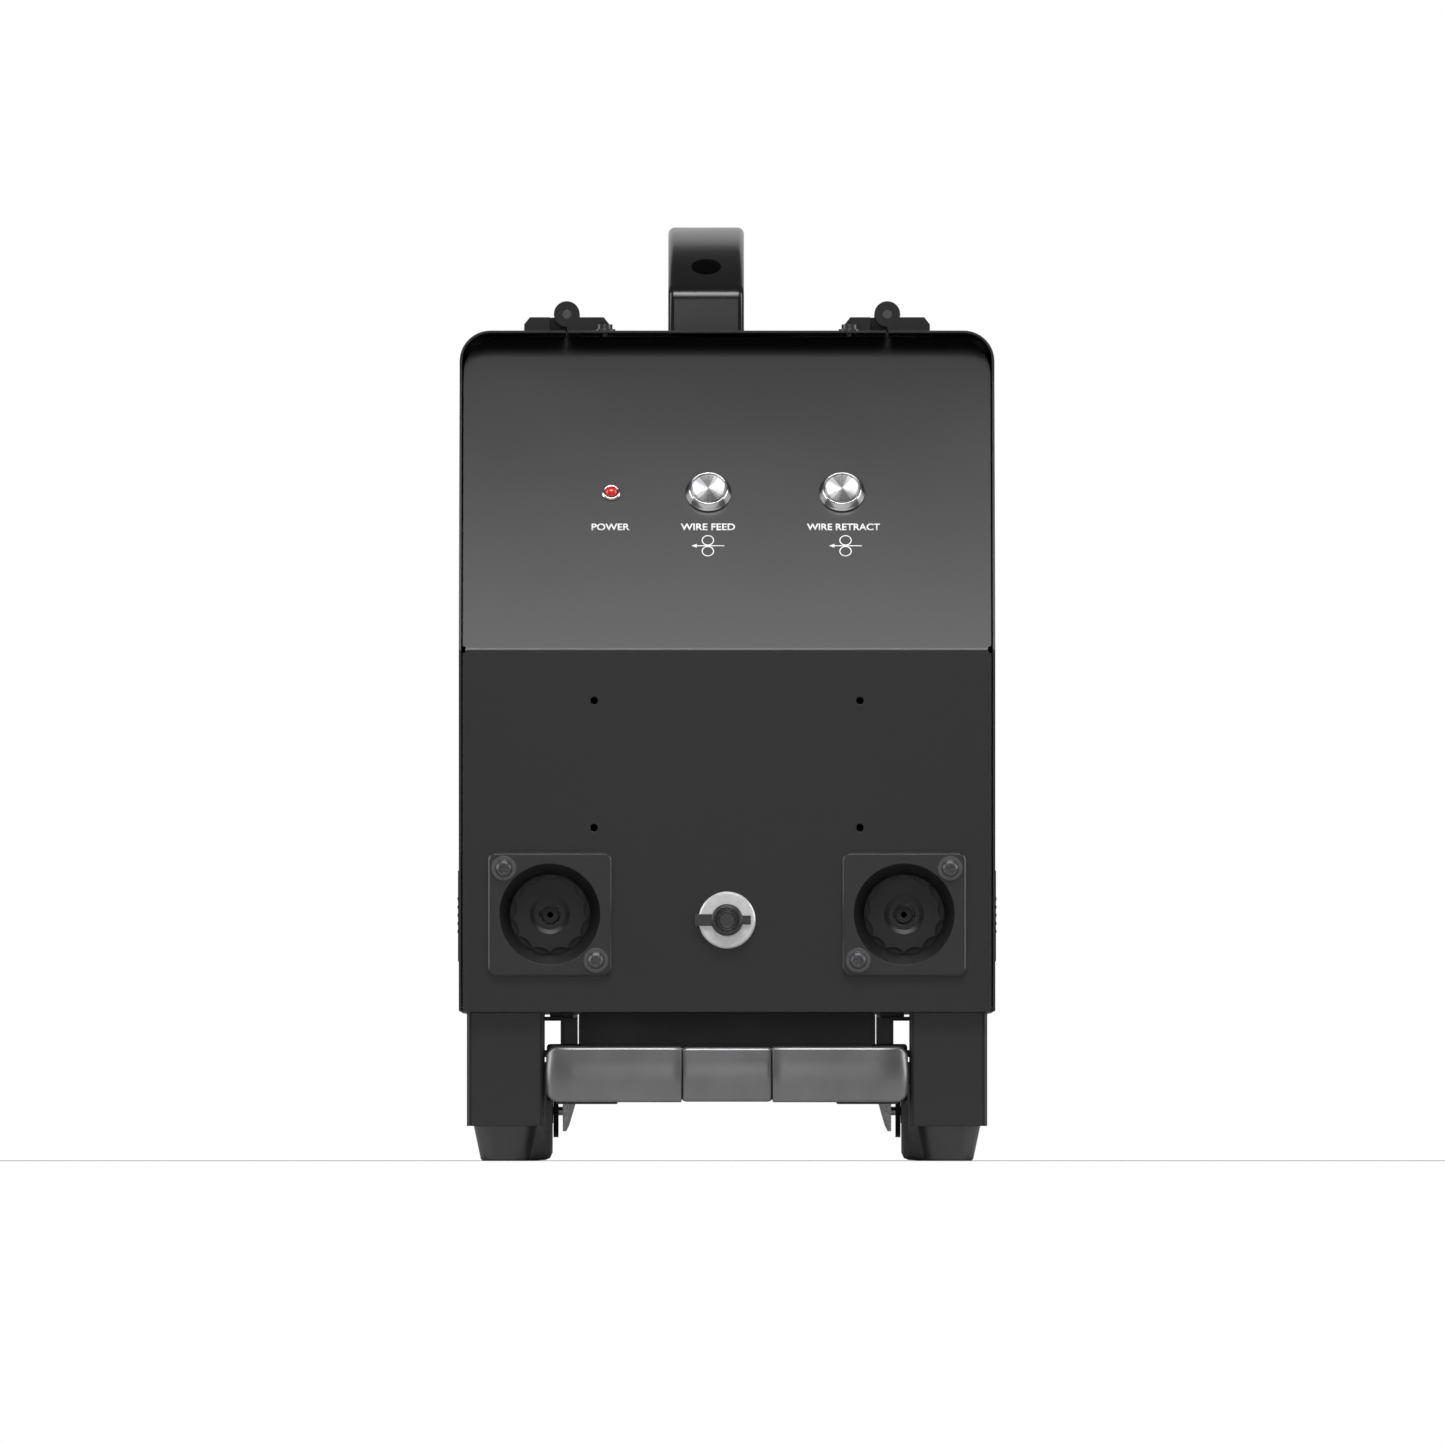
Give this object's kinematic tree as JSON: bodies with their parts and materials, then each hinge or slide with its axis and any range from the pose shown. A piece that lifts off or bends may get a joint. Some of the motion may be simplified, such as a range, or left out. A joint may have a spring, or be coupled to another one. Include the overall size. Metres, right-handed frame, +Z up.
{
  "type": "dual wire feeder",
  "caption": "Trolley wire feeder with two gull-wing bays, spools and drive units, fluted wire outlets, push buttons, a carrying handle and a telescopic pull handle.",
  "frame": {"origin": "on the floor under the middle of the feeder", "axes": "+X to the right as the user faces the console, +Y to the rear, +Z up"},
  "size_m": [0.2636, 0.5304, 0.457],
  "materials": {
    "case_paint": "fine satin black powder coat",
    "satin_plastic": "satin black moulding",
    "gloss_plastic": "semi-gloss black moulding",
    "rubber": "matte black rubber",
    "tyre": "dark grey polyurethane tread",
    "bright_steel": "bright plated",
    "brushed_steel": "spun brushed",
    "dark_steel": "black oxide",
    "zinc": "zinc plated",
    "roll_steel": "ground hardened steel",
    "motor_steel": "dark grey painted motor",
    "bare_aluminium": "milled",
    "brass": "turned",
    "copper_wire": "copper-coated steel wire",
    "spool_plastic": "dark moulded spool",
    "red_lens": "red moulded lens",
    "board_green": "green circuit board"
  },
  "bodies": {
    "case": {"base_pan": "case_paint", "front_panel": "case_paint", "rear_panel": "case_paint", "centre_partition": "case_paint", "top_cover": "case_paint", "hinge_bases": "satin_plastic", "hinge_pins": "dark_steel", "top_screws": "dark_steel", "carry_handle": "gloss_plastic", "control_bezels": "bright_steel", "lamp_lens": "red_lens", "outlet_flanges": "satin_plastic", "flange_screws": "dark_steel", "control_sockets": "bright_steel", "front_legs": "case_paint", "rubber_feet": "rubber", "wheel_forks": "satin_plastic", "axle_bolts": "bright_steel", "axle_stays": "zinc", "handle_cradle": "case_paint", "cradle_block": "satin_plastic", "outer_tubes": "dark_steel", "spool_spindles": "satin_plastic", "spool_nuts": "satin_plastic", "feed_plates": "bare_aluminium", "gear_motors": "motor_steel", "wire_guides": "dark_steel", "control_board": "board_green"},
    "left_door": {"left_door": "case_paint", "left_hinge_leaves": "satin_plastic"},
    "right_door": {"right_door": "case_paint", "right_hinge_leaves": "satin_plastic"},
    "left_latch": {"left_latch": "satin_plastic"},
    "right_latch": {"right_latch": "satin_plastic"},
    "wire_feed_button": {"wire_feed_button": "brushed_steel"},
    "wire_retract_button": {"wire_retract_button": "brushed_steel"},
    "left_lock_collar": {"left_lock_collar": "satin_plastic"},
    "right_lock_collar": {"right_lock_collar": "satin_plastic"},
    "dust_cap": {"dust_cap": "rubber"},
    "left_wheel": {"left_tyre": "tyre", "left_wheel_hub": "satin_plastic"},
    "right_wheel": {"right_tyre": "tyre", "right_wheel_hub": "satin_plastic"},
    "pull_handle": {"inner_tubes": "zinc", "pull_handle": "gloss_plastic"},
    "release_button": {"release_button": "gloss_plastic"},
    "left_spool": {"left_spool": "spool_plastic", "left_wire_coil": "copper_wire"},
    "right_spool": {"right_spool": "spool_plastic", "right_wire_coil": "copper_wire"},
    "left_drive_roll": {"left_drive_roll": "roll_steel"},
    "right_drive_roll": {"right_drive_roll": "roll_steel"},
    "left_pressure_arm": {"left_pressure_arm": "bare_aluminium"},
    "right_pressure_arm": {"right_pressure_arm": "bare_aluminium"},
    "left_pressure_roll": {"left_pressure_roll": "roll_steel"},
    "right_pressure_roll": {"right_pressure_roll": "roll_steel"},
    "left_tension_knob": {"left_tension_knob": "satin_plastic"},
    "right_tension_knob": {"right_tension_knob": "satin_plastic"}
  },
  "joints": [
    {"name": "left_door_hinge", "type": "hinge", "parent": "case", "child": "left_door", "pos_m": [-0.078, 0, 0.412], "axis": [0, 1, 0], "range_deg": [0, 110]},
    {"name": "left_latch_slide", "type": "slide", "parent": "left_door", "child": "left_latch", "axis": [0, 0, 1], "range_m": [0, 0.006], "stiffness_N_per_m": 300, "springref_m": -0.002},
    {"name": "right_door_hinge", "type": "hinge", "parent": "case", "child": "right_door", "pos_m": [0.078, 0, 0.412], "axis": [0, -1, 0], "range_deg": [0, 110]},
    {"name": "right_latch_slide", "type": "slide", "parent": "right_door", "child": "right_latch", "axis": [0, 0, 1], "range_m": [0, 0.006], "stiffness_N_per_m": 300, "springref_m": -0.002},
    {"name": "wire_feed_press", "type": "slide", "parent": "case", "child": "wire_feed_button", "axis": [0, 0.829, -0.5592], "range_m": [0, 0.0025], "stiffness_N_per_m": 600, "springref_m": -0.002},
    {"name": "wire_retract_press", "type": "slide", "parent": "case", "child": "wire_retract_button", "axis": [0, 0.829, -0.5592], "range_m": [0, 0.0025], "stiffness_N_per_m": 600, "springref_m": -0.002},
    {"name": "left_collar_turn", "type": "hinge", "parent": "case", "child": "left_lock_collar", "pos_m": [-0.08585, -0.238, 0.1194], "axis": [0, -1, 0], "range_deg": [0, 90]},
    {"name": "right_collar_turn", "type": "hinge", "parent": "case", "child": "right_lock_collar", "pos_m": [0.08585, -0.238, 0.1194], "axis": [0, -1, 0], "range_deg": [0, 90]},
    {"name": "dust_cap_swing", "type": "hinge", "parent": "case", "child": "dust_cap", "pos_m": [-0.0151, -0.25975, 0.1166], "axis": [0, 0, -1], "range_deg": [0, 150]},
    {"name": "left_wheel_spin", "type": "hinge", "parent": "case", "child": "left_wheel", "pos_m": [-0.096, 0.225, 0.0245], "axis": [1, 0, 0], "continuous": true},
    {"name": "right_wheel_spin", "type": "hinge", "parent": "case", "child": "right_wheel", "pos_m": [0.096, 0.225, 0.0245], "axis": [1, 0, 0], "continuous": true},
    {"name": "pull_handle_slide", "type": "slide", "parent": "case", "child": "pull_handle", "axis": [0, -1, 0], "range_m": [0, 0.33]},
    {"name": "release_button_press", "type": "slide", "parent": "pull_handle", "child": "release_button", "axis": [0, 1, 0], "range_m": [0, 0.0035], "stiffness_N_per_m": 500, "springref_m": -0.002},
    {"name": "left_spool_spin", "type": "hinge", "parent": "case", "child": "left_spool", "pos_m": [-0.0645, 0.1, 0.236], "axis": [1, 0, 0], "continuous": true},
    {"name": "left_drive_spin", "type": "hinge", "parent": "case", "child": "left_drive_roll", "pos_m": [-0.08585, -0.125, 0.1043], "axis": [1, 0, 0], "continuous": true},
    {"name": "left_arm_lift", "type": "hinge", "parent": "case", "child": "left_pressure_arm", "pos_m": [-0.0755, -0.168, 0.141], "axis": [1, 0, 0], "range_deg": [0, 50]},
    {"name": "left_pressure_spin", "type": "hinge", "parent": "left_pressure_arm", "child": "left_pressure_roll", "pos_m": [-0.08585, -0.125, 0.1345], "axis": [1, 0, 0], "continuous": true},
    {"name": "left_tension_turn", "type": "hinge", "parent": "left_pressure_arm", "child": "left_tension_knob", "pos_m": [-0.0845, -0.082, 0.15], "axis": [0, 0, 1], "range_deg": [0, 360]},
    {"name": "right_spool_spin", "type": "hinge", "parent": "case", "child": "right_spool", "pos_m": [0.0645, 0.1, 0.236], "axis": [1, 0, 0], "continuous": true},
    {"name": "right_drive_spin", "type": "hinge", "parent": "case", "child": "right_drive_roll", "pos_m": [0.08585, -0.125, 0.1043], "axis": [1, 0, 0], "continuous": true},
    {"name": "right_arm_lift", "type": "hinge", "parent": "case", "child": "right_pressure_arm", "pos_m": [0.0755, -0.168, 0.141], "axis": [1, 0, 0], "range_deg": [0, 50]},
    {"name": "right_pressure_spin", "type": "hinge", "parent": "right_pressure_arm", "child": "right_pressure_roll", "pos_m": [0.08585, -0.125, 0.1345], "axis": [1, 0, 0], "continuous": true},
    {"name": "right_tension_turn", "type": "hinge", "parent": "right_pressure_arm", "child": "right_tension_knob", "pos_m": [0.0845, -0.082, 0.15], "axis": [0, 0, 1], "range_deg": [0, 360]}
  ],
  "couplings": [
    {"joint": "left_pressure_spin", "follows": "left_drive_spin", "ratio": -1},
    {"joint": "right_pressure_spin", "follows": "right_drive_spin", "ratio": -1}
  ]
}
